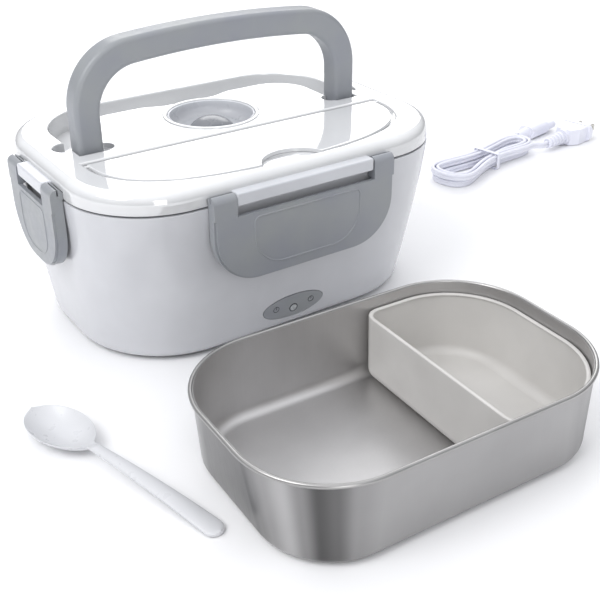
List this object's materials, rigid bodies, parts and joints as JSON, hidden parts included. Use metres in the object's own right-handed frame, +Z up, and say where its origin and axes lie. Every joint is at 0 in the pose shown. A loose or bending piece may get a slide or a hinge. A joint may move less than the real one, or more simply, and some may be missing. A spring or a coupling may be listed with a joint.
{
  "type": "electric lunch box",
  "caption": "Electric lunch box with latched lift-off lid, folding handle, vent, spoon cover and heated well, with its steel food pan, divider tray, spoon and tied power cord beside it.",
  "frame": {"origin": "centre of the box's footprint, on the plane of its feet", "axes": "+Z up, -Y the front with the indicator, +X to the right along the long side"},
  "size_m": [0.595, 0.3666, 0.1755],
  "materials": {
    "white_plastic": "smooth, softly glossy",
    "satin_white_plastic": "satin",
    "grey_plastic": "satin, fine grain",
    "light_grey_plastic": "satin",
    "light_grey_silicone": "matte",
    "seal_silicone": "matte",
    "foot_rubber": "matte",
    "stainless_steel": "fine satin inside, polished rim",
    "spring_steel": "bright",
    "screw_steel": "zinc plated",
    "aluminium_plate": "brushed",
    "heater_dark": "insulating film",
    "phenolic_dark": "matte",
    "fuse_body": "matte",
    "wire_sleeve": "silicone sleeve",
    "plated_brass": "nickel plated",
    "circuit_board": "solder mask",
    "lens_clear": "frosted clear",
    "cord_jacket": "soft satin"
  },
  "bodies": {
    "case": {"case_shell": "white_plastic", "heating_pan": "satin_white_plastic", "heating_plate": "aluminium_plate", "ptc_heater": "heater_dark", "heater_clamp": "spring_steel", "clamp_screws": "screw_steel", "thermostat": "phenolic_dark", "thermal_fuse": "fuse_body", "inner_wires": "wire_sleeve", "base_cover": "white_plastic", "base_screws": "screw_steel", "foot_front_left": "foot_rubber", "foot_front_right": "foot_rubber", "foot_back_left": "foot_rubber", "foot_back_right": "foot_rubber", "power_inlet": "white_plastic", "inlet_pins": "plated_brass", "indicator_panel": "grey_plastic", "indicator_lens": "lens_clear", "led_board": "circuit_board", "cord_hank": "cord_jacket", "cord_tie": "cord_jacket", "plug_body": "cord_jacket", "plug_prongs": "plated_brass", "plug_relief": "cord_jacket", "cord_connector": "cord_jacket"},
    "lid": {"lid_shell": "white_plastic", "lid_liner": "satin_white_plastic", "lid_seal": "seal_silicone", "vent_cup": "light_grey_plastic"},
    "handle": {"carry_handle": "grey_plastic"},
    "front_latch": {"latch_front": "grey_plastic"},
    "back_latch": {"latch_back": "grey_plastic"},
    "left_latch": {"latch_left": "grey_plastic"},
    "right_latch": {"latch_right": "grey_plastic"},
    "spoon_cover": {"spoon_cover": "white_plastic"},
    "vent_plug": {"vent_plug": "light_grey_silicone"},
    "food_pan": {"food_pan": "stainless_steel"},
    "tray": {"divider_tray": "satin_white_plastic"},
    "spoon": {"spoon": "white_plastic"}
  },
  "joints": [
    {"name": "lid_lift", "type": "slide", "parent": "case", "child": "lid", "axis": [0, 0, 1], "range_m": [0, 0.07]},
    {"name": "handle_fold", "type": "hinge", "parent": "lid", "child": "handle", "pos_m": [0, 0.003, 0.1075], "axis": [-1, 0, 0], "range_deg": [0, 90]},
    {"name": "latch_front_swing", "type": "hinge", "parent": "lid", "child": "front_latch", "pos_m": [0, -0.0889, 0.1026], "axis": [-1, 0, 0], "range_deg": [0, 100]},
    {"name": "latch_back_swing", "type": "hinge", "parent": "lid", "child": "back_latch", "pos_m": [0, 0.0889, 0.1026], "axis": [1, 0, 0], "range_deg": [0, 100]},
    {"name": "latch_left_swing", "type": "hinge", "parent": "lid", "child": "left_latch", "pos_m": [-0.1224, 0, 0.1026], "axis": [0, 1, 0], "range_deg": [0, 100]},
    {"name": "latch_right_swing", "type": "hinge", "parent": "lid", "child": "right_latch", "pos_m": [0.1224, 0, 0.1026], "axis": [0, -1, 0], "range_deg": [0, 100]},
    {"name": "spoon_cover_swing", "type": "hinge", "parent": "lid", "child": "spoon_cover", "pos_m": [0, -0.0225, 0.111], "axis": [-1, 0, 0], "range_deg": [0, 95]},
    {"name": "vent_pull", "type": "slide", "parent": "lid", "child": "vent_plug", "axis": [0, 0, 1], "range_m": [0, 0.005]},
    {"name": "food_pan_lift", "type": "slide", "parent": "case", "child": "food_pan", "axis": [0, 0, 1], "range_m": [0, 0.12]},
    {"name": "tray_lift", "type": "slide", "parent": "food_pan", "child": "tray", "axis": [0, 0, 1], "range_m": [0, 0.06]},
    {"name": "spoon_lift", "type": "slide", "parent": "case", "child": "spoon", "axis": [0, 0, 1], "range_m": [0, 0.1]}
  ]
}
